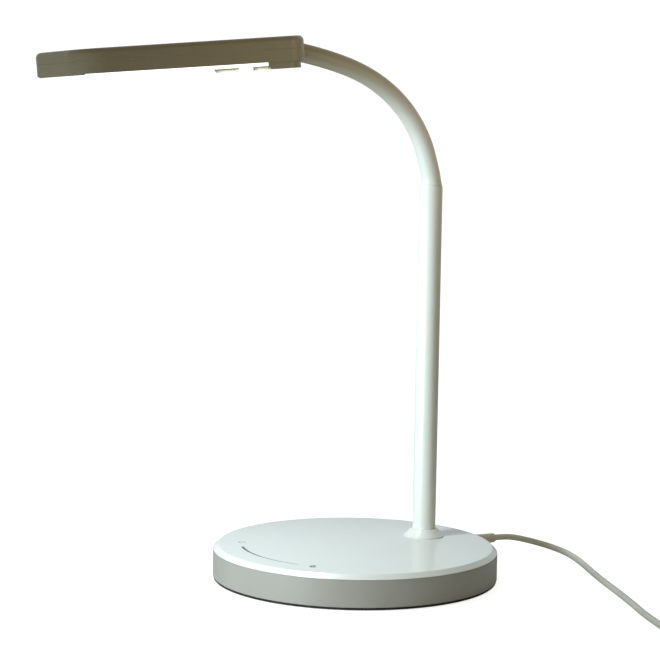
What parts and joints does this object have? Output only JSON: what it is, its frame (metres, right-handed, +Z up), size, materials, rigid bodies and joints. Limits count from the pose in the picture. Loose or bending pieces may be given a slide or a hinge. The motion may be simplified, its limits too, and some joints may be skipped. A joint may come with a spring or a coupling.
{
  "type": "desk lamp",
  "caption": "Desk lamp with a round weighted base, a straight post, a bendable neck, a flat bar-shaped light head and a supply lead.",
  "frame": {"origin": "centre of the round base, on the surface the foot ring stands on", "axes": "+Z up along the base's axis, -Y towards the head's side (the user), +X to the user's right"},
  "size_m": [0.3653, 0.3786, 0.3436],
  "materials": {
    "white_gloss": "smooth moulded, satin gloss",
    "silver_satin": "satin silver-grey paint on moulded plastic",
    "rubber_black": "matt",
    "screw_steel": "bright",
    "ballast_iron": "as cast, painted",
    "board_green": "solder mask",
    "board_white": "white solder mask on aluminium",
    "chip_black": "moulded",
    "inlay_grey": "printed inlay",
    "contact_brass": "plated",
    "socket_black": "moulded",
    "post_white": "satin powder coat on steel tube",
    "turned_steel": "turned",
    "neck_sleeve": "soft-touch sleeve over a steel flexible hose",
    "head_taupe": "satin, warm grey",
    "diffuser_milk": "milky, lit from inside",
    "pad_clear": "translucent",
    "reflector_white": "matt white",
    "led_yellow": "phosphor",
    "zinc_cast": "die cast",
    "cord_jacket": "smooth jacket",
    "plug_grey": "moulded",
    "plated_steel": "nickel plated",
    "lead_white": "insulated",
    "tie_grey": "hook-and-loop strap"
  },
  "bodies": {
    "base": {"base_lower_shell": "silver_satin", "base_top_cover": "white_gloss", "foot_ring": "rubber_black", "base_screws": "screw_steel", "base_weight": "ballast_iron", "weight_screws": "screw_steel", "touch_board": "board_green", "touch_chip": "chip_black", "slider_mark": "inlay_grey", "power_mark": "inlay_grey", "mode_mark": "inlay_grey", "driver_board": "board_green", "driver_parts": "chip_black", "dc_jack": "socket_black", "dc_jack_pin": "contact_brass", "post_collar": "white_gloss", "post_tube": "post_white", "post_flange": "turned_steel", "post_nut": "turned_steel", "post_stud": "turned_steel", "post_lead": "lead_white", "lead_connector": "plug_grey", "lower_neck_ferrule": "post_white", "dc_plug_barrel": "plated_steel", "dc_plug_grip": "plug_grey", "cord_strain_relief": "plug_grey", "power_cord": "cord_jacket", "cord_coil": "cord_jacket", "cord_tie": "tie_grey", "cord_tail": "cord_jacket", "usb_plug_grip": "plug_grey", "usb_plug_shell": "plated_steel", "usb_plug_tongue": "reflector_white"},
    "neck_1": {"neck_link_1": "neck_sleeve"},
    "neck_2": {"neck_link_2": "neck_sleeve"},
    "neck_3": {"neck_link_3": "neck_sleeve"},
    "neck_4": {"neck_link_4": "neck_sleeve"},
    "neck_5": {"neck_link_5": "neck_sleeve"},
    "neck_6": {"neck_link_6": "neck_sleeve"},
    "neck_7": {"neck_link_7": "neck_sleeve"},
    "neck_8": {"neck_link_8": "neck_sleeve"},
    "head": {"upper_neck_ferrule": "turned_steel", "head_top_cover": "head_taupe", "head_bottom_bezel": "head_taupe", "diffuser": "diffuser_milk", "sensor_pad": "pad_clear", "reflector": "reflector_white", "led_board": "board_white", "leds": "led_yellow", "neck_clamp": "zinc_cast", "clamp_screws": "screw_steel", "head_screws": "screw_steel"}
  },
  "joints": [
    {"name": "neck_bend_1", "type": "hinge", "parent": "base", "child": "neck_1", "pos_m": [0, 0.0548, 0.26035], "axis": [1, 0, 0], "range_deg": [-17.64, 9.7]},
    {"name": "neck_bend_2", "type": "hinge", "parent": "neck_1", "child": "neck_2", "pos_m": [0, 0.0496, 0.2767], "axis": [1, 0, 0], "range_deg": [-12.15, 6.69]},
    {"name": "neck_side_1", "type": "hinge", "parent": "neck_2", "child": "neck_3", "pos_m": [0, 0.0413, 0.2912], "axis": [0, 0.7609, 0.6488], "range_deg": [-25, 25]},
    {"name": "neck_bend_3", "type": "hinge", "parent": "neck_3", "child": "neck_4", "pos_m": [0, 0.0303, 0.3041], "axis": [1, 0, 0], "range_deg": [-11.05, 6.08]},
    {"name": "neck_bend_4", "type": "hinge", "parent": "neck_4", "child": "neck_5", "pos_m": [0, 0.0171, 0.3146], "axis": [1, 0, 0], "range_deg": [-10.39, 5.72]},
    {"name": "neck_bend_5", "type": "hinge", "parent": "neck_5", "child": "neck_6", "pos_m": [0, 0.0026, 0.32235], "axis": [1, 0, 0], "range_deg": [-8.79, 4.84]},
    {"name": "neck_side_2", "type": "hinge", "parent": "neck_6", "child": "neck_7", "pos_m": [0, -0.0135, 0.328], "axis": [0, 0.2342, 0.9722], "range_deg": [-25, 25]},
    {"name": "neck_bend_6", "type": "hinge", "parent": "neck_7", "child": "neck_8", "pos_m": [0, -0.0299, 0.33195], "axis": [1, 0, 0], "range_deg": [-2.94, 1.62]},
    {"name": "neck_bend_7", "type": "hinge", "parent": "neck_8", "child": "head", "pos_m": [0, -0.0465, 0.33506], "axis": [1, 0, 0], "range_deg": [-4.87, 2.68]}
  ],
  "couplings": [
    {"joint": "neck_bend_2", "follows": "neck_bend_1", "ratio": 0.6884},
    {"joint": "neck_bend_3", "follows": "neck_bend_1", "ratio": 0.626},
    {"joint": "neck_bend_4", "follows": "neck_bend_1", "ratio": 0.5882},
    {"joint": "neck_bend_5", "follows": "neck_bend_1", "ratio": 0.498},
    {"joint": "neck_side_2", "follows": "neck_side_1", "ratio": 1},
    {"joint": "neck_bend_6", "follows": "neck_bend_1", "ratio": 0.1661},
    {"joint": "neck_bend_7", "follows": "neck_bend_1", "ratio": 0.2753}
  ]
}
